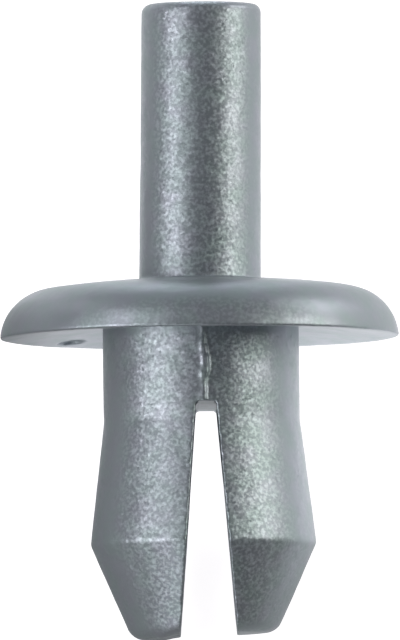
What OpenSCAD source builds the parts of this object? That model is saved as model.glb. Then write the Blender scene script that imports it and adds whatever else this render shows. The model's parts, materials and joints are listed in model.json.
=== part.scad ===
// One-piece drive rivet for body trim: a drive pin on a round head, over a shank that splits into two legs.
// Hammering the pin breaks the thin web round its foot and drives it down the bore, which spreads the legs
// behind the panel. All sizes are in millimetres.

/* [Head] */
// Diameter of the head
head_d = 13; // [11:0.1:16]
// Height of the head on its axis
head_h = 1.8; // [1.8:0.05:2.6]
// Radius of the rounded outer edge of the head
head_edge_r = 1.55; // [0.8:0.05:1.55]
// Radius of the small edge round the underside of the head
rim_r = 0.12; // [0.05:0.01:0.2]

/* [Drive pin] */
// Diameter of the drive pin at its top
pin_d = 3.92; // [3:0.02:4.6]
// How far the drive pin stands above the head
pin_h = 9.05; // [6:0.05:12]
// Draft on each side of the drive pin, in degrees
pin_draft = 0.25; // [0:0.05:0.5]
// Radius of the rounded top edge of the drive pin
pin_edge_r = 0.45; // [0.1:0.05:0.8]

/* [Shank and legs] */
// Diameter of the shank
shank_d = 6.4; // [5.6:0.1:7.2]
// Straight length of the shank under the head
shank_l = 2.75; // [2:0.05:4]
// How far the legs widen past the shank on each side
flare_h = 0.48; // [0.2:0.02:0.8]
// Length over which the legs widen
flare_l = 4; // [3:0.1:6]
// Radius of the shoulder where the legs are widest
shoulder_r = 0.3; // [0.1:0.05:0.5]
// Length of the tips below the shoulder
tip_l = 2.95; // [2:0.05:3.5]
// Slope of the tips on each side, in degrees
tip_angle = 24.4; // [18:0.2:28]
// Radius of the outer edge at the ends of the legs
tip_edge_r = 0.3; // [0.1:0.05:0.5]

/* [Slot] */
// Distance from the head to the top of the slot
slot_z = 2.22; // [1.5:0.02:4]
// Width of the slot at its top
slot_w = 0.67; // [0.4:0.01:1.2]
// Slope of each side of the slot, in degrees
slot_angle = 4.5; // [2:0.1:6]
// Radius of the top corners of the slot
slot_corner_r = 0.1; // [0.04:0.01:0.15]
// How far the slot and the parting line lie beside the axis
parting_x = 0.13; // [0:0.01:0.3]

/* [Pin bore] */
// Room between the driven pin and the wall of its bore
pin_clear = 0.05; // [0.02:0.01:0.15]
// Thickness of the web that holds the pin until it is driven
web_t = 0.35; // [0.2:0.05:0.6]
// Depth below the head at which the bore begins to narrow
bore_straight_l = 2.5; // [1:0.1:4]
// Diameter of the bore at the ends of the legs
bore_end_d = 2.2; // [1.4:0.1:3]

/* [Moulding marks] */
// Width of the flash along the parting line
flash_w = 0.2; // [0.1:0.02:0.4]
// How far the flash stands out of the shank
flash_h = 0.08; // [0.04:0.01:0.15]
// Diameter of the ejector pin's mark under the head
ejector_d = 0.95; // [0.6:0.05:1.2]
// Depth of the ejector pin's mark
ejector_depth = 0.1; // [0.05:0.01:0.2]
// Distance from the shank to the ejector pin's mark
ejector_gap = 0.55; // [0.3:0.05:0.8]
// Place of the ejector pin's mark round the head, in degrees from the right
ejector_angle = 171; // [100:1:260]

/* [Hidden] */

// Steps in a full circle, and in each rounded corner of an outline
$fn = 96;
arc_n = 8;
colour = [0.55, 0.59, 0.62];

head_r = head_d / 2;
shank_r = shank_d / 2;
pin_r = pin_d / 2;

// The crown is one large arc over the head that runs smoothly into the arc of the rounded edge.
edge_x = head_r - head_edge_r;
crown_r = (pow(edge_x, 2) + pow(head_h - rim_r, 2) - pow(head_edge_r, 2))
    / (2 * (head_h - rim_r - head_edge_r));
crown_a = asin(edge_x / (crown_r - head_edge_r));

// The drive pin, and the bore that takes it
pin_top_z = head_h + pin_h;
pin_foot_r = pin_r + pin_h * tan(pin_draft);
bore_r = pin_foot_r + pin_clear;
web_z = head_h - web_t;

// The legs: the points where their sloping sides would meet if their edges were sharp
shoulder_z = shank_l + flare_l;
leg_l = shoulder_z + tip_l;
shoulder_x = shank_r + flare_h;
tip_x = shoulder_x - tip_l * tan(tip_angle);
leg_outline = [
    [0, rim_r],
    [shank_r, rim_r],
    [shank_r, -shank_l],
    [shoulder_x, -shoulder_z],
    [tip_x, -leg_l],
    [0, -leg_l],
];

// Points on an arc of radius r about centre c, from angle a0 to angle a1
function arc(c, r, a0, a1) = [
    for (i = [0:arc_n]) let (a = a0 + (a1 - a0) * i / arc_n) c + r * [cos(a), sin(a)]
];

function unit(v) = v / norm(v);

// Half of the angle between the two sides that meet at corner b, which come from a and go to c
function half_angle(a, b, c) = acos(unit(a - b) * unit(c - b)) / 2;

// Centre of the arc of radius r that rounds corner b
function arc_centre(a, b, c, r) = b + unit(unit(a - b) + unit(c - b)) * r / sin(half_angle(a, b, c));

// The points of that arc, from the side that comes from a to the side that goes to c
function rounded_corner(a, b, c, r) =
    let (
        centre = arc_centre(a, b, c, r),
        reach = r / tan(half_angle(a, b, c)),
        start = b + unit(a - b) * reach - centre,
        end = b + unit(c - b) * reach - centre,
        start_a = atan2(start.y, start.x),
        turn = (atan2(end.y, end.x) - start_a + 540) % 360 - 180
    )
    arc(centre, r, start_a, start_a + turn);

// An outline with its corners rounded, each by its own radius. A radius of 0 keeps a corner sharp.
function rounded(points, radii) =
    let (n = len(points))
    [
        for (i = [0:n - 1])
            each radii[i] == 0 ? [points[i]]
                : rounded_corner(points[(i + n - 1) % n], points[i], points[(i + 1) % n], radii[i])
    ];

// How the clip lies on a flat surface: on the rim of its head and on the slot's edges at both shoulders.
// The slot is a little beside the axis, so the clip rolls until both legs touch.
shoulder_c = arc_centre(leg_outline[2], leg_outline[3], leg_outline[4], shoulder_r);
shoulder_reach = shoulder_c.x + shoulder_r;
slot_half_w = slot_w / 2 + (-shoulder_c.y - slot_z) * tan(slot_angle);
near_edge_a = asin((slot_half_w - parting_x) / shoulder_reach);
far_edge_a = asin((slot_half_w + parting_x) / shoulder_reach);
rest_roll = (far_edge_a - near_edge_a) / 2;
rest_x = shoulder_c.x * cos((far_edge_a + near_edge_a) / 2);
rest_span = [head_r - rim_r - rest_x, rim_r - shoulder_c.y];
rest_tilt = atan2(rest_span.x, rest_span.y) + asin((rim_r - shoulder_r) / norm(rest_span));

// The lying clip's base is at z = 0, and its length is centred on the origin.
rest_z = rim_r + (head_r - rim_r) * cos(rest_tilt) - rim_r * sin(rest_tilt);
pin_end_y = (pin_top_z - pin_edge_r) * cos(rest_tilt)
    + (pin_r - pin_edge_r) * sin(rest_tilt) + pin_edge_r;
tip_c = arc_centre(leg_outline[3], leg_outline[4], leg_outline[5], tip_edge_r);
leg_end_y = tip_c.y * cos(rest_tilt) - tip_c.x * sin(rest_tilt) - tip_edge_r;
rest_y = -(pin_end_y + leg_end_y) / 2;

module head() {
    color(colour)
        rotate_extrude()
            polygon([
                [0, 0],
                each arc([head_r - rim_r, rim_r], rim_r, -90, 0),
                each arc([edge_x, rim_r], head_edge_r, 0, 90 - crown_a),
                each arc([0, head_h - crown_r], crown_r, 90 - crown_a, 90),
            ]);
}

module drive_pin() {
    color(colour)
        rotate_extrude()
            polygon(rounded(
                [[0, web_z], [pin_foot_r, web_z], [pin_foot_r, head_h], [pin_r, pin_top_z], [0, pin_top_z]],
                [0, 0, 0, pin_edge_r, 0]
            ));
}

// The shank and both legs as one turned form, before the slot parts the legs
module shank() {
    color(colour)
        rotate_extrude()
            polygon(rounded(leg_outline, [0, 0, 0, shoulder_r, tip_edge_r, 0]));
}

// The ridges that the mould's two halves leave down the front and the back of the shank
module flash() {
    color(colour)
        translate([parting_x, 0, -slot_z])
            linear_extrude(slot_z + rim_r)
                square([flash_w, 2 * (shank_r + flash_h)], center = true);
}

// The wedge between the legs, seen from the front, with rounded corners at its top
module slot_outline() {
    end_z = -leg_l - 1;
    end_x = slot_w / 2 + (-slot_z - end_z) * tan(slot_angle);
    polygon(rounded(
        [[-slot_w / 2, -slot_z], [slot_w / 2, -slot_z], [end_x, end_z], [-end_x, end_z]],
        [slot_corner_r, slot_corner_r, 0, 0]
    ));
}

module slot() {
    translate([parting_x, 0, 0])
        rotate([90, 0, 0])
            linear_extrude(2 * shoulder_x + 1, center = true)
                slot_outline();
}

// Straight through the head and shank, then narrowing so that the driven pin spreads the legs
module bore() {
    rotate_extrude()
        polygon([
            [0, web_z],
            [bore_r, web_z],
            [bore_r, -bore_straight_l],
            [bore_end_d / 2, -leg_l],
            [bore_end_d / 2, -leg_l - 1],
            [0, -leg_l - 1],
        ]);
}

module ejector_mark() {
    rotate([0, 0, ejector_angle])
        translate([shank_r + ejector_gap + ejector_d / 2, 0, -1])
            cylinder(d = ejector_d, h = 1 + ejector_depth);
}

// The clip in its own frame: its axis along Z, the drive pin up, the underside of the head at z = 0
// and the slot open to the front and the back
module clip() {
    difference() {
        union() {
            head();
            shank();
            flash();
        }
        slot();
        bore();
        ejector_mark();
    }
    drive_pin();
}

module trim_clip() {
    color(colour)
        translate([0, rest_y, rest_z])
            rotate([rest_tilt - 90, 0, 0])
                rotate([0, 0, rest_roll])
                    clip();
}

trim_clip();
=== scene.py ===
import json
import math

import bpy
from mathutils import Matrix, Vector

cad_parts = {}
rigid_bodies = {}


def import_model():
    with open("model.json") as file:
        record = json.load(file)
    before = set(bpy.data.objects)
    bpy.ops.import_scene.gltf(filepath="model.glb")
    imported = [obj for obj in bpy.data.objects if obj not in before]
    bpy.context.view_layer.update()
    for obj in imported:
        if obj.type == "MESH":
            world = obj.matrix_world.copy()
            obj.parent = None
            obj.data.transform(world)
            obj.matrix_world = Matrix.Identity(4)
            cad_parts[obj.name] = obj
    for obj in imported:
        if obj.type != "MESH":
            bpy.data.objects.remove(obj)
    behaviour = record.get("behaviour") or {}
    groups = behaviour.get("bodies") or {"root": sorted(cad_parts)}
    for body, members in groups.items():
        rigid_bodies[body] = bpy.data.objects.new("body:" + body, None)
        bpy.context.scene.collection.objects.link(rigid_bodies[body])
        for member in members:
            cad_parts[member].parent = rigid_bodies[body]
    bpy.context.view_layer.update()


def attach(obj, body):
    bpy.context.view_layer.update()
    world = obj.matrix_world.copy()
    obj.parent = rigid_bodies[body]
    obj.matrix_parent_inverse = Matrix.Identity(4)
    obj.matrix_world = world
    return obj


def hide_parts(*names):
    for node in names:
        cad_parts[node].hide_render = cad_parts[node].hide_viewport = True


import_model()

# The clip is modelled in millimetres in its own frame: its axis along Z, the drive pin up, the underside of
# the head at z = 0, and the slot open to the front (-Y) and the back. Then it is laid down and made metres.
MM = 0.001

# Head. Its underside is hollow, so that the rim seals on the panel.
HEAD_R = 6.5
HEAD_H = 1.91
HEAD_EDGE_R = 1.72
HEAD_EDGE_LEAN_DEGREES = 5
HEAD_TURN = math.radians(0.15)
HEAD_X = -0.047
RIM_R = 0.04
RIM_W = 0.3
HOLLOW_H = 0.5
HOLLOW_R = 2.785

# Drive pin. It leans a little to the right, because the web round its foot isn't even, and its end is a
# little out of square: the slope of the end is given across and towards the back.
PIN_R = 1.945
PIN_FOOT_R = 1.985
PIN_H = 9.0
PIN_EDGE_R = 0.3
PIN_END_SLOPE = Vector((0.013, 0.028))
PIN_LEAN = math.radians(1.0)

# Shank and legs
SHANK_R = 3.185
SHANK_L = 2.75
FLARE_H = 0.48
FLARE_L = 4.0
FLARE_START_R = 1.2
SHOULDER_R = 0.3
TIP_L = 2.92
TIP_ANGLE = math.radians(24.4)
TIP_EDGE_R = 0.55
SHOULDER_X = SHANK_R + FLARE_H
SHOULDER_Z = -SHANK_L - FLARE_L
LEG_Z = SHOULDER_Z - TIP_L
TIP_X = SHOULDER_X - TIP_L * math.tan(TIP_ANGLE)
FLARE_ANGLE = math.atan(FLARE_H / FLARE_L)
HALF_TOP_Z = 0.9

# The left leg's tip is this much longer on its outer side, and shorter by a share of it on its inner side.
LONG_LEG = 0.18
LONG_START = 0.5
LONG_FROM_X = -0.9
LONG_OVER_X = 0.6
LONG_LEAST = -0.4

# Slot, parting line and bore
SLOT_Z = -2.235
SLOT_W = 0.67
SLOT_ANGLE = math.radians(4.5)
SLOT_CORNER_R = 0.1
PARTING_X = 0.13
WEB_Z = 1.45
BORE_R = 2.05
BORE_TOP_Z = SLOT_Z - 0.02
BORE_STRAIGHT_Z = -2.5
BORE_END_R = 1.1

# The mould's halves didn't meet exactly, so the left one stands forward. Both are rather flat at the seam.
MISMATCH = Vector((-0.02, -0.1, 0))
LEFT_FLAT = 0.4
RIGHT_FLAT = 0.3
RIGHT_FLAT_L = 1.5
OVERLAP = 0.25

# Moulding marks
FLASH_W = 0.12
FLASH_OUT = 0.008
FLASH_T = 0.5
FLASH_IN_HEAD = 0.7
BULGE_Z = -1.0
BULGE_L = 0.42
BULGE_W = 0.11
BULGE_OUT = 0.015
EJECTOR_R = 0.475
EJECTOR_DEPTH = 0.1
EJECTOR_PLACE = 5.5
EJECTOR_ANGLE = math.radians(139.5)

# How the clip lies: the turn about its axis, the rise of the drive pin, and the place of the head's underside
REST_ROLL = math.radians(2.065)
REST_TILT = math.radians(22.831)
REST_PLACE = Vector((0, -0.41195, 5.95357))

TO_ROW = (
    Matrix.Scale(MM, 4)
    @ Matrix.Translation(REST_PLACE)
    @ (Matrix.Rotation(REST_TILT - math.radians(90), 4, "X") @ Matrix.Rotation(REST_ROLL, 4, "Z"))
)

# Mesh
SIDES = 192
VOXEL = 0.05
MOST_TRIANGLES = 190000

# Waves in the surface: their length and their height
SINK_MARK_L = 2.2
SINK_MARK_H = 0.035
ORANGE_PEEL_L = 0.45
ORANGE_PEEL_H = 0.012


def own_to_row(point):
    """From the clip's own frame, in millimetres, to the frame that it lies in, in metres"""
    return TO_ROW @ Vector(point)


def own_axis():
    """The way that the drive pin points in the frame that the clip lies in"""
    return (own_to_row((0, 0, 1)) - own_to_row((0, 0, 0))).normalized()


def deselect_all():
    for item in bpy.context.scene.objects:
        item.select_set(False)


def edit(piece):
    deselect_all()
    bpy.context.view_layer.objects.active = piece
    piece.select_set(True)
    bpy.ops.object.mode_set(mode="EDIT")
    bpy.ops.mesh.select_all(action="SELECT")


def done():
    bpy.ops.object.mode_set(mode="OBJECT")


def pick(piece, kind, test):
    """Goes into edit mode with only the edges or faces that pass a test selected. kind is EDGE or FACE."""
    edit(piece)
    bpy.ops.mesh.select_all(action="DESELECT")
    done()
    corners = piece.data.vertices
    for element in piece.data.edges if kind == "EDGE" else piece.data.polygons:
        element.select = test([corners[v].co for v in element.vertices])
    bpy.ops.object.mode_set(mode="EDIT")
    bpy.ops.mesh.select_mode(type=kind)


def arc(centre, radius, start, end, steps):
    """Rings on an arc, as (radius from the axis, height)"""
    turns = [math.radians(start + (end - start) * i / steps) for i in range(steps + 1)]
    return [(centre[0] + radius * math.cos(a), centre[1] + radius * math.sin(a)) for a in turns]


def turned(name, rings):
    """A disc at the first ring, drawn out by one extrusion for each further ring"""
    deselect_all()
    radius, height = rings[0]
    bpy.ops.mesh.primitive_circle_add(vertices=SIDES, radius=radius, fill_type="NGON", location=(0, 0, height))
    piece = bpy.context.object
    piece.name = name
    bpy.ops.object.transform_apply(location=True, rotation=True, scale=True)
    edit(piece)
    for wide, high in rings[1:]:
        bpy.ops.mesh.extrude_region_move(TRANSFORM_OT_translate={"value": (0, 0, high - height)})
        share = wide / radius
        bpy.ops.transform.resize(value=(share, share, 1), center_override=(0, 0, high))
        radius, height = wide, high
    bpy.ops.mesh.select_all(action="SELECT")
    bpy.ops.mesh.normals_make_consistent(inside=False)
    done()
    return piece


def round_ring(piece, height, radius, turn, segments=6):
    """Rounds the edge loop at a height. turn is the angle between the two surfaces that meet there."""
    pick(piece, "EDGE", lambda ends: all(abs(end.z - height) < 1e-4 for end in ends))
    reach = radius * math.tan(turn / 2)
    bpy.ops.mesh.bevel(offset=reach, offset_type="OFFSET", segments=segments, profile=0.5)
    done()


def apply_modifier(piece, kind, **values):
    deselect_all()
    bpy.context.view_layer.objects.active = piece
    piece.select_set(True)
    modifier = piece.modifiers.new(kind.title(), kind)
    for key, value in values.items():
        setattr(modifier, key, value)
    bpy.ops.object.modifier_apply(modifier=modifier.name)


def cut(piece, tool):
    apply_modifier(piece, "BOOLEAN", operation="DIFFERENCE", solver="EXACT", object=tool)


def make_head():
    """The crown is one large arc that runs smoothly into the arc of the rounded edge, which leans in."""
    lean = math.radians(HEAD_EDGE_LEAN_DEGREES)
    edge_x = HEAD_R - HEAD_EDGE_R * math.cos(lean)
    edge_z = RIM_R - HEAD_EDGE_R * math.sin(lean)
    rise = HEAD_H - edge_z
    crown_r = (edge_x ** 2 + rise ** 2 - HEAD_EDGE_R ** 2) / (2 * (rise - HEAD_EDGE_R))
    crown_turn = math.degrees(math.asin(edge_x / (crown_r - HEAD_EDGE_R)))
    rings = [(HOLLOW_R, HOLLOW_H), (HEAD_R - RIM_W, 0)]
    rings += arc((HEAD_R - RIM_R, RIM_R), RIM_R, -90, 0, 3)
    rings += arc((edge_x, edge_z), HEAD_EDGE_R, HEAD_EDGE_LEAN_DEGREES, 90 - crown_turn, 24)
    rings += arc((0, HEAD_H - crown_r), crown_r, 90 - crown_turn, 89.9, 16)[1:]
    return turned("head", rings)


def make_pin():
    """The drive pin, from the web up to its rounded end, leaned about the web"""
    top = HEAD_H + PIN_H
    pin = turned("drive_pin", [(PIN_FOOT_R, WEB_Z), (PIN_FOOT_R, HEAD_H), (PIN_R, top)])
    round_ring(pin, top, PIN_EDGE_R, math.radians(90), 10)
    for vertex in pin.data.vertices:
        if vertex.co.z > top - 1:
            vertex.co.z += PIN_END_SLOPE.dot(vertex.co.xy)
    foot = Vector((0, 0, HEAD_H))
    lean = Matrix.Translation(foot) @ Matrix.Rotation(PIN_LEAN, 4, "Y") @ Matrix.Translation(-foot)
    pin.data.transform(lean)
    return pin


def make_shank_half(name, side):
    """One mould half of the shank and its leg. side is -1 for the left half and 1 for the right one."""
    half = turned(name, [(SHANK_R, HALF_TOP_Z), (SHANK_R, -SHANK_L), (SHOULDER_X, SHOULDER_Z), (TIP_X, LEG_Z)])
    round_ring(half, -SHANK_L, FLARE_START_R, FLARE_ANGLE, 4)
    round_ring(half, SHOULDER_Z, SHOULDER_R, FLARE_ANGLE + TIP_ANGLE, 6)
    round_ring(half, LEG_Z, TIP_EDGE_R, math.radians(90) - TIP_ANGLE, 6)
    edit(half)
    seam = PARTING_X - LEFT_FLAT if side < 0 else PARTING_X - OVERLAP
    bpy.ops.mesh.bisect(
        plane_co=(seam, 0, 0), plane_no=(-side, 0, 0), use_fill=True, clear_outer=True, threshold=1e-5
    )
    bpy.ops.mesh.select_all(action="SELECT")
    bpy.ops.mesh.normals_make_consistent(inside=False)
    done()
    for vertex in half.data.vertices:
        across = min(1.0, abs(vertex.co.x) / max(0.01, math.hypot(vertex.co.x, vertex.co.y)))
        if side > 0:
            below = max(0.0, min(1.0, (SLOT_Z - vertex.co.z) / RIGHT_FLAT_L))
            vertex.co.x -= RIGHT_FLAT * (1 - across) * below
        else:
            past = max(0.0, SHOULDER_Z - LONG_START - vertex.co.z) / (TIP_L - LONG_START)
            share = max(LONG_LEAST, min(1.0, (LONG_FROM_X - vertex.co.x) / LONG_OVER_X))
            vertex.co += MISMATCH + Vector((LEFT_FLAT * (1 - across), 0, -LONG_LEG * past * share))
    return half


def make_flash():
    """The thin lip that the mould's halves squeezed out along the front of the shank. Its edges are uneven,
    and half way down it bulges to the right."""
    deselect_all()
    length = -SLOT_Z + FLASH_IN_HEAD
    middle = SLOT_Z + length / 2
    centre_x = PARTING_X - FLASH_W / 2
    front = -math.sqrt(SHANK_R ** 2 - PARTING_X ** 2) + MISMATCH.y
    bpy.ops.mesh.primitive_cube_add(size=1, location=(0, 0, 0))
    flash = bpy.context.object
    flash.name = "flash"
    edit(flash)
    bpy.ops.transform.resize(value=(FLASH_W, FLASH_T, length), center_override=(0, 0, 0))
    bpy.ops.transform.translate(value=(centre_x, front - FLASH_OUT + FLASH_T / 2, middle))
    done()
    pick(flash, "EDGE", lambda ends: abs(ends[0].z - ends[1].z) > length / 2)
    bpy.ops.mesh.subdivide(number_cuts=60)
    done()
    for vertex in flash.data.vertices:
        z = vertex.co.z
        bulge = math.exp(-((z - BULGE_Z) / BULGE_L) ** 2)
        if vertex.co.x > centre_x:
            vertex.co.x += BULGE_W * bulge + 0.012 * math.sin(9 * z) + 0.008 * math.sin(23 * z + 1)
        else:
            vertex.co.x += 0.02 * math.sin(7 * z + 2)
        if vertex.co.y < front:
            vertex.co.y -= 0.008 * math.sin(13 * z + 1) + BULGE_OUT * bulge
    return flash


def make_slot_tool():
    """A wedge that widens towards the leg ends, its two top edges rounded"""
    deselect_all()
    bottom = LEG_Z - 1
    depth = SLOT_Z - bottom
    bpy.ops.mesh.primitive_cube_add(size=1, location=(0, 0, 0))
    tool = bpy.context.object
    tool.name = "slot_tool"
    edit(tool)
    bpy.ops.transform.resize(value=(SLOT_W, 2 * SHOULDER_X + 1, depth), center_override=(0, 0, 0))
    bpy.ops.transform.translate(value=(PARTING_X, 0, SLOT_Z - depth / 2))
    done()
    pick(tool, "FACE", lambda ends: all(abs(end.z - bottom) < 1e-4 for end in ends))
    wide = 1 + 2 * depth * math.tan(SLOT_ANGLE) / SLOT_W
    bpy.ops.transform.resize(value=(wide, 1, 1), center_override=(PARTING_X, 0, bottom))
    done()
    at_top = SLOT_Z - 1e-4
    pick(tool, "EDGE", lambda ends: min(ends[0].z, ends[1].z) > at_top and abs(ends[0].y - ends[1].y) > 1)
    bpy.ops.mesh.bevel(offset=SLOT_CORNER_R, segments=5, profile=0.5)
    done()
    return tool


def make_bore_tool():
    """The bore between the legs. It starts at the top of the slot, which the photo shows closed."""
    rings = [(BORE_R, BORE_TOP_Z), (BORE_R, BORE_STRAIGHT_Z), (BORE_END_R, LEG_Z), (BORE_END_R, LEG_Z - 1)]
    return turned("bore_tool", rings)


def make_ejector_tool():
    """A pin that reaches a little way into the hollow underside of the head"""
    rim_in = HEAD_R - RIM_W
    top = HOLLOW_H * (rim_in - EJECTOR_PLACE) / (rim_in - HOLLOW_R) + EJECTOR_DEPTH
    tool = turned("ejector_tool", [(EJECTOR_R, -1), (EJECTOR_R, top)])
    place = Vector((math.cos(EJECTOR_ANGLE), math.sin(EJECTOR_ANGLE), 0)) * EJECTOR_PLACE
    tool.data.transform(Matrix.Translation(place))
    return tool


def waviness(piece, name, length, height):
    """Pushes the surface in and out by a soft cloud pattern"""
    clouds = bpy.data.textures.new(name, "CLOUDS")
    clouds.noise_scale = length
    clouds.noise_basis = "BLENDER_ORIGINAL"
    apply_modifier(piece, "DISPLACE", texture=clouds, texture_coords="LOCAL", strength=height, mid_level=0.5)


def make_clip():
    """The whole moulding as one mesh, laid down as it rests"""
    head = make_head()
    pin = make_pin()
    left = make_shank_half("left_half", -1)
    right = make_shank_half("right_half", 1)
    flash = make_flash()
    slot_tool = make_slot_tool()
    bore_tool = make_bore_tool()
    ejector_tool = make_ejector_tool()
    cut(head, ejector_tool)
    head.data.transform(Matrix.Translation((HEAD_X, 0, 0)) @ Matrix.Rotation(HEAD_TURN, 4, "Y"))
    for half in (left, right):
        cut(half, bore_tool)
        cut(half, slot_tool)
    cut(flash, slot_tool)
    for tool in (slot_tool, bore_tool, ejector_tool):
        bpy.data.objects.remove(tool)

    deselect_all()
    for part in (head, pin, left, right, flash):
        part.select_set(True)
    bpy.context.view_layer.objects.active = head
    bpy.ops.object.join()
    clip = head
    clip.name = "trim_clip_moulding"

    # One skin over all of it, with the small radii that a mould leaves at every edge
    apply_modifier(clip, "REMESH", mode="VOXEL", voxel_size=VOXEL)
    apply_modifier(clip, "SMOOTH", factor=0.5, iterations=1)
    waviness(clip, "sink_marks", SINK_MARK_L, SINK_MARK_H)
    waviness(clip, "orange_peel", ORANGE_PEEL_L, ORANGE_PEEL_H)
    triangles = sum(len(face.vertices) - 2 for face in clip.data.polygons)
    apply_modifier(clip, "DECIMATE", ratio=min(1.0, MOST_TRIANGLES / triangles))
    clip.data.transform(TO_ROW)
    deselect_all()
    bpy.context.view_layer.objects.active = clip
    clip.select_set(True)
    bpy.ops.object.shade_smooth()
    return clip


def linear(red, green, blue):
    """A colour as it is seen, from 0 to 255, as the numbers that a shader takes"""
    parts = [c / 255 for c in (red, green, blue)]
    return [*(c / 12.92 if c <= 0.04045 else ((c + 0.055) / 1.055) ** 2.4 for c in parts), 1]


# Finish. Depths are in metres, and a scale is a number of grains to the metre.
GRAIN_SCALE = 9000
MOTTLE_SCALE = 1400
MOTTLE_DEPTH = 0.00002
FLAKE_SCALE = 11000
FLAKE_TILT = 0.72
HEAD_FLAKE_TILT = 0.16
FLAKE_SOFT = 0.5
FLAKE_DARK = linear(149, 154, 160)
FLAKE_LIGHT = linear(186, 192, 198)
PLASTIC = linear(162, 168, 174)
TINT_GREEN = linear(243, 252, 249)
TINT_BLUE = linear(250, 250, 255)
ROUGH_DULL = 0.49
ROUGH_BRIGHT = 0.44
METALLIC = 0.8
HEAD_SMOOTHNESS = 0.5


def ramp(material, source, stops):
    """A colour ramp. Each stop is its position and its colour."""
    node = material.node_tree.nodes.new("ShaderNodeValToRGB")
    material.node_tree.links.new(source, node.inputs["Fac"])
    elements = node.color_ramp.elements
    elements[0].position, elements[0].color = stops[0]
    elements[1].position, elements[1].color = stops[-1]
    for position, colour in stops[1:-1]:
        elements.new(position).color = colour
    return node


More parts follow.
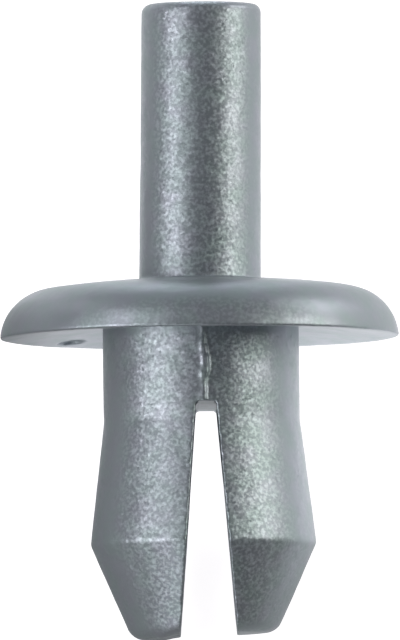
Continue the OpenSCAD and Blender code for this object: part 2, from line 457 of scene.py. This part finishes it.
def moulded_plastic():
    """Silver-grey plastic with fine metal flake in it, which sparkles where a lamp is reflected"""
    material = bpy.data.materials.new("silver_plastic")
    material.use_nodes = True
    nodes = material.node_tree.nodes
    links = material.node_tree.links
    shader = nodes["Principled BSDF"]
    place = nodes.new("ShaderNodeTexCoord")

    def noise(scale, detail, rough):
        node = nodes.new("ShaderNodeTexNoise")
        node.inputs["Scale"].default_value = scale
        node.inputs["Detail"].default_value = detail
        node.inputs["Roughness"].default_value = rough
        links.new(place.outputs["Object"], node.inputs["Vector"])
        return node

    grain = noise(GRAIN_SCALE, 1.5, 0.5)
    mottle = noise(MOTTLE_SCALE, 2, 0.5)
    flake = ramp(material, grain.outputs["Fac"], [(0.42, FLAKE_DARK), (0.66, FLAKE_LIGHT)])

    # The flakes in the thin head show less. Its place is told by the height along the clip's own axis.
    underside = own_to_row((0, 0, 0)).dot(own_axis())
    height = nodes.new("ShaderNodeVectorMath")
    height.operation = "DOT_PRODUCT"
    height.inputs[1].default_value = own_axis()
    links.new(place.outputs["Object"], height.inputs[0])
    level = nodes.new("ShaderNodeMapRange")
    level.inputs["From Min"].default_value = underside - MM
    level.inputs["From Max"].default_value = underside + 3 * MM
    links.new(height.outputs["Value"], level.inputs["Value"])
    black = linear(0, 0, 0)
    white = linear(255, 255, 255)
    stops = [(0.24, black), (0.26, white), (0.69, white), (0.71, black)]
    in_head = ramp(material, level.outputs["Result"], stops)

    # Seen from the side, the clear plastic over the flakes hides them.
    side = nodes.new("ShaderNodeLayerWeight")
    hidden = nodes.new("ShaderNodeMapRange")
    hidden.inputs["From Min"].default_value = 0.15
    hidden.inputs["From Max"].default_value = 0.45
    links.new(side.outputs["Facing"], hidden.inputs["Value"])
    even = nodes.new("ShaderNodeMath")
    even.operation = "MULTIPLY_ADD"
    even.inputs[1].default_value = HEAD_SMOOTHNESS
    even.use_clamp = True
    links.new(in_head.outputs["Color"], even.inputs[0])
    links.new(hidden.outputs["Result"], even.inputs[2])
    body = nodes.new("ShaderNodeMix")
    body.data_type = "RGBA"
    body.inputs["B"].default_value = PLASTIC
    links.new(even.outputs["Value"], body.inputs["Factor"])
    links.new(flake.outputs["Color"], body.inputs["A"])
    tint = ramp(material, mottle.outputs["Fac"], [(0.35, TINT_GREEN), (0.65, TINT_BLUE)])
    colour = nodes.new("ShaderNodeMix")
    colour.data_type = "RGBA"
    colour.blend_type = "MULTIPLY"
    colour.inputs["Factor"].default_value = 1
    links.new(body.outputs["Result"], colour.inputs["A"])
    links.new(tint.outputs["Color"], colour.inputs["B"])
    links.new(colour.outputs["Result"], shader.inputs["Base Color"])

    shine = nodes.new("ShaderNodeMapRange")
    shine.inputs["From Min"].default_value = 0.3
    shine.inputs["From Max"].default_value = 0.7
    shine.inputs["To Min"].default_value = ROUGH_DULL
    shine.inputs["To Max"].default_value = ROUGH_BRIGHT
    links.new(mottle.outputs["Fac"], shine.inputs["Value"])
    links.new(shine.outputs["Result"], shader.inputs["Roughness"])

    bump = nodes.new("ShaderNodeBump")
    bump.inputs["Strength"].default_value = 1
    bump.inputs["Distance"].default_value = MOTTLE_DEPTH
    links.new(mottle.outputs["Fac"], bump.inputs["Height"])

    # Each flake lies at its own angle in the plastic. Most of them are nearly flat, and a few are steep.
    cells = nodes.new("ShaderNodeTexVoronoi")
    cells.inputs["Scale"].default_value = FLAKE_SCALE
    links.new(place.outputs["Object"], cells.inputs["Vector"])
    both = nodes.new("ShaderNodeMix")
    both.data_type = "VECTOR"
    both.inputs["Factor"].default_value = FLAKE_SOFT
    links.new(cells.outputs["Color"], both.inputs["A"])
    links.new(grain.outputs["Color"], both.inputs["B"])
    centred = nodes.new("ShaderNodeVectorMath")
    centred.operation = "SUBTRACT"
    centred.inputs[1].default_value = (0.5, 0.5, 0.5)
    links.new(both.outputs["Result"], centred.inputs[0])
    steepness = nodes.new("ShaderNodeVectorMath")
    steepness.operation = "LENGTH"
    links.new(centred.outputs["Vector"], steepness.inputs[0])
    few_steep = nodes.new("ShaderNodeVectorMath")
    few_steep.operation = "SCALE"
    links.new(centred.outputs["Vector"], few_steep.inputs[0])
    links.new(steepness.outputs["Value"], few_steep.inputs["Scale"])
    tilt = nodes.new("ShaderNodeVectorMath")
    tilt.operation = "SCALE"
    links.new(few_steep.outputs["Vector"], tilt.inputs[0])

    strength = nodes.new("ShaderNodeMapRange")
    strength.inputs["To Min"].default_value = FLAKE_TILT
    strength.inputs["To Max"].default_value = HEAD_FLAKE_TILT
    links.new(in_head.outputs["Color"], strength.inputs["Value"])
    links.new(strength.outputs["Result"], tilt.inputs["Scale"])

    tilted = nodes.new("ShaderNodeVectorMath")
    tilted.operation = "ADD"
    links.new(bump.outputs["Normal"], tilted.inputs[0])
    links.new(tilt.outputs["Vector"], tilted.inputs[1])
    facing = nodes.new("ShaderNodeVectorMath")
    facing.operation = "NORMALIZE"
    links.new(tilted.outputs["Vector"], facing.inputs[0])
    links.new(facing.outputs["Vector"], shader.inputs["Normal"])
    shader.inputs["Metallic"].default_value = METALLIC
    return material


def aim(item, place, target, up):
    """Puts a camera or a lamp at a place, turned to a target, with the top of its view towards up"""
    back = (place - target).normalized()
    side = up.cross(back).normalized()
    top = back.cross(side)
    item.matrix_world = Matrix.Translation(place) @ Matrix((side, top, back)).transposed().to_4x4()


# Camera
IMAGE_H = 640
VIEW_DISTANCE = 408.5
VIEW_BELOW = math.radians(3.55)
VIEW_ROLL = math.radians(0.8)
VIEW_TARGET = (-0.026, 0, 0.575)
PIXELS_PER_MM = 30.66
SENSOR = 36


def make_camera():
    data = bpy.data.cameras.new("camera")
    camera = bpy.data.objects.new("camera", data)
    bpy.context.scene.collection.objects.link(camera)
    data.sensor_width = SENSOR
    data.lens = SENSOR * VIEW_DISTANCE * PIXELS_PER_MM / IMAGE_H
    target = own_to_row(VIEW_TARGET)
    away = Vector((0, -math.cos(VIEW_BELOW), -math.sin(VIEW_BELOW))) * VIEW_DISTANCE
    place = own_to_row(Vector(VIEW_TARGET) + away)
    aim(camera, place, target, own_axis())
    camera.matrix_world = camera.matrix_world @ Matrix.Rotation(-VIEW_ROLL, 4, "Z")
    data.clip_start = 0.01
    data.clip_end = 10
    bpy.context.scene.camera = camera


def make_lamp(name, turn, rise, distance, width, height, power, colour):
    """A soft box. turn is its angle to the right of the view, rise its angle towards the drive pin's end."""
    data = bpy.data.lights.new(name, "AREA")
    data.shape = "RECTANGLE"
    data.size = width * MM
    data.size_y = height * MM
    data.energy = power
    data.color = colour
    lamp = bpy.data.objects.new(name, data)
    bpy.context.scene.collection.objects.link(lamp)
    a, e = math.radians(turn), math.radians(rise)
    way = Vector((math.sin(a) * math.cos(e), -math.cos(a) * math.cos(e), math.sin(e)))
    aim(lamp, own_to_row(way * distance), own_to_row((0, 0, 0)), own_axis())
    return lamp


def make_lamps():
    """Soft boxes that give the bands of light down the clip, and weaker ones for its head and its ends"""
    white = (1, 1, 1)
    rosy = (1, 0.98, 0.98)
    warm = (1, 0.97, 0.95)
    yellow = (1, 1, 0.9)
    cool = (0.92, 0.96, 1)
    make_lamp("left_box", -53, -7, 200, width=86, height=80, power=0.165, colour=rosy)
    make_lamp("left_mid", -46, 31, 200, width=80, height=40, power=0.058, colour=white)
    make_lamp("front_high", 0, 38, 260, width=300, height=150, power=0.02, colour=white)
    make_lamp("right_box", 66, 12, 200, width=115, height=90, power=0.145, colour=yellow)
    make_lamp("left_high", -95, 48, 260, width=80, height=80, power=0.03, colour=warm)
    make_lamp("right_high", 90, 42, 260, width=80, height=80, power=0.12, colour=(1, 0.98, 0.95))
    make_lamp("left_low", -38, -48, 200, width=70, height=50, power=0.052, colour=white)
    make_lamp("leg_strip", -26, -66, 255, width=120, height=20, power=0.014, colour=(1, 1, 0.92))
    make_lamp("pin_strip", 180, 67, 250, width=60, height=20, power=0.11, colour=cool)
    make_lamp("pin_high", 0, 84, 260, width=260, height=90, power=0.037, colour=cool)


# World and floor. The glow is a painted reflection, an emission in the floor that only reflections see, given
# at places
# across it in millimetres: dark on the left, bright beneath the clip's left side, and brightest close to its
# right.
CEILING = (0.085, 0.094, 0.102, 1)
NO_LIGHT = (0, 0, 0, 1)
WHITE = (1, 1, 1, 1)
FLOOR_COLOUR = (0.5, 0.5, 0.5, 1)
SEEN_GLOW = 0.95
GLOW_COLOUR = (1, 0.985, 1, 1)
GLOW_SLANT = 0.6
GLOW_REACH = 60
GLOW = [
    (-60, 0.02),
    (-25, 0.03),
    (-9, 0.06),
    (-6, 0.42),
    (-4, 1.1),
    (0, 0.7),
    (5, 1.62),
    (12, 1.03),
    (22, 0.76),
    (60, 0.58),
]
GLOW_LEG_END = -14
GLOW_PIN_END = -3
LEG_END_SHARE = 0.04
FAR_GLOW = 0.7
FAR_START = 11
FAR_END = 26


def make_world():
    """White to the camera and a dull ceiling in reflections. It gives no other light."""
    world = bpy.data.worlds.new("studio")
    bpy.context.scene.world = world
    world.use_nodes = True
    nodes = world.node_tree.nodes
    links = world.node_tree.links
    rays = nodes.new("ShaderNodeLightPath")

    def by_ray(ray, otherwise, value):
        mix = nodes.new("ShaderNodeMix")
        mix.data_type = "RGBA"
        links.new(rays.outputs[ray], mix.inputs["Factor"])
        mix.inputs["B"].default_value = value
        if isinstance(otherwise, tuple):
            mix.inputs["A"].default_value = otherwise
        else:
            links.new(otherwise, mix.inputs["A"])
        return mix.outputs["Result"]

    colour = by_ray("Is Glossy Ray", NO_LIGHT, CEILING)
    colour = by_ray("Is Camera Ray", colour, WHITE)
    links.new(colour, nodes["Background"].inputs["Color"])


def make_floor():
    """A pale floor with a painted reflection: the glow that only reflections see in it is strongest close to
    the right of the clip.
    """
    deselect_all()
    bpy.ops.mesh.primitive_plane_add(size=2, location=(0, 0, 0))
    floor = bpy.context.object
    floor.name = "floor"
    material = bpy.data.materials.new("pale_floor")
    material.use_nodes = True
    nodes = material.node_tree.nodes
    links = material.node_tree.links
    nodes.remove(nodes["Principled BSDF"])
    diffuse = nodes.new("ShaderNodeBsdfDiffuse")
    diffuse.inputs["Color"].default_value = FLOOR_COLOUR
    place = nodes.new("ShaderNodeTexCoord")
    slant = nodes.new("ShaderNodeVectorMath")
    slant.operation = "DOT_PRODUCT"
    slant.inputs[1].default_value = (1, GLOW_SLANT, 0)
    links.new(place.outputs["Object"], slant.inputs[0])
    across = nodes.new("ShaderNodeMapRange")
    across.inputs["From Min"].default_value = -GLOW_REACH * MM
    across.inputs["From Max"].default_value = GLOW_REACH * MM
    links.new(slant.outputs["Value"], across.inputs["Value"])
    stops = [((x + GLOW_REACH) / (2 * GLOW_REACH), (glow, glow, glow, 1)) for x, glow in GLOW]
    spread = ramp(material, across.outputs["Result"], stops)

    # It dims towards the leg end, and past the pin's end it is even.
    split = nodes.new("ShaderNodeSeparateXYZ")
    links.new(place.outputs["Object"], split.inputs["Vector"])
    dim = nodes.new("ShaderNodeMapRange")
    dim.inputs["From Min"].default_value = GLOW_LEG_END * MM
    dim.inputs["From Max"].default_value = GLOW_PIN_END * MM
    dim.inputs["To Min"].default_value = LEG_END_SHARE
    links.new(split.outputs["Y"], dim.inputs["Value"])
    dimmed = nodes.new("ShaderNodeMath")
    dimmed.operation = "MULTIPLY"
    links.new(spread.outputs["Color"], dimmed.inputs[0])
    links.new(dim.outputs["Result"], dimmed.inputs[1])
    far = nodes.new("ShaderNodeMapRange")
    far.inputs["From Min"].default_value = FAR_START * MM
    far.inputs["From Max"].default_value = FAR_END * MM
    links.new(split.outputs["Y"], far.inputs["Value"])
    strength = nodes.new("ShaderNodeMix")
    strength.inputs["B"].default_value = FAR_GLOW
    links.new(far.outputs["Result"], strength.inputs["Factor"])
    links.new(dimmed.outputs["Value"], strength.inputs["A"])

    # Only reflections see it. The camera sees an even white.
    # Painted reflection: the glow is an emission, not a lamp, and lights nothing.
    rays = nodes.new("ShaderNodeLightPath")
    reflected = nodes.new("ShaderNodeMath")
    reflected.operation = "MULTIPLY"
    links.new(strength.outputs["Result"], reflected.inputs[0])
    links.new(rays.outputs["Is Glossy Ray"], reflected.inputs[1])
    seen = nodes.new("ShaderNodeMath")
    seen.operation = "MULTIPLY_ADD"
    seen.inputs[1].default_value = SEEN_GLOW
    links.new(rays.outputs["Is Camera Ray"], seen.inputs[0])
    links.new(reflected.outputs["Value"], seen.inputs[2])
    glow = nodes.new("ShaderNodeEmission")
    glow.inputs["Color"].default_value = GLOW_COLOUR
    links.new(seen.outputs["Value"], glow.inputs["Strength"])
    both = nodes.new("ShaderNodeAddShader")
    links.new(diffuse.outputs["BSDF"], both.inputs[0])
    links.new(glow.outputs["Emission"], both.inputs[1])
    links.new(both.outputs["Shader"], nodes["Material Output"].inputs["Surface"])
    floor.data.materials.append(material)


clip = make_clip()
clip.data.materials.clear()
clip.data.materials.append(moulded_plastic())
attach(clip, "root")
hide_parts("trim_clip")

make_camera()
make_lamps()
make_world()
make_floor()
bpy.context.scene.view_settings.view_transform = "Standard"
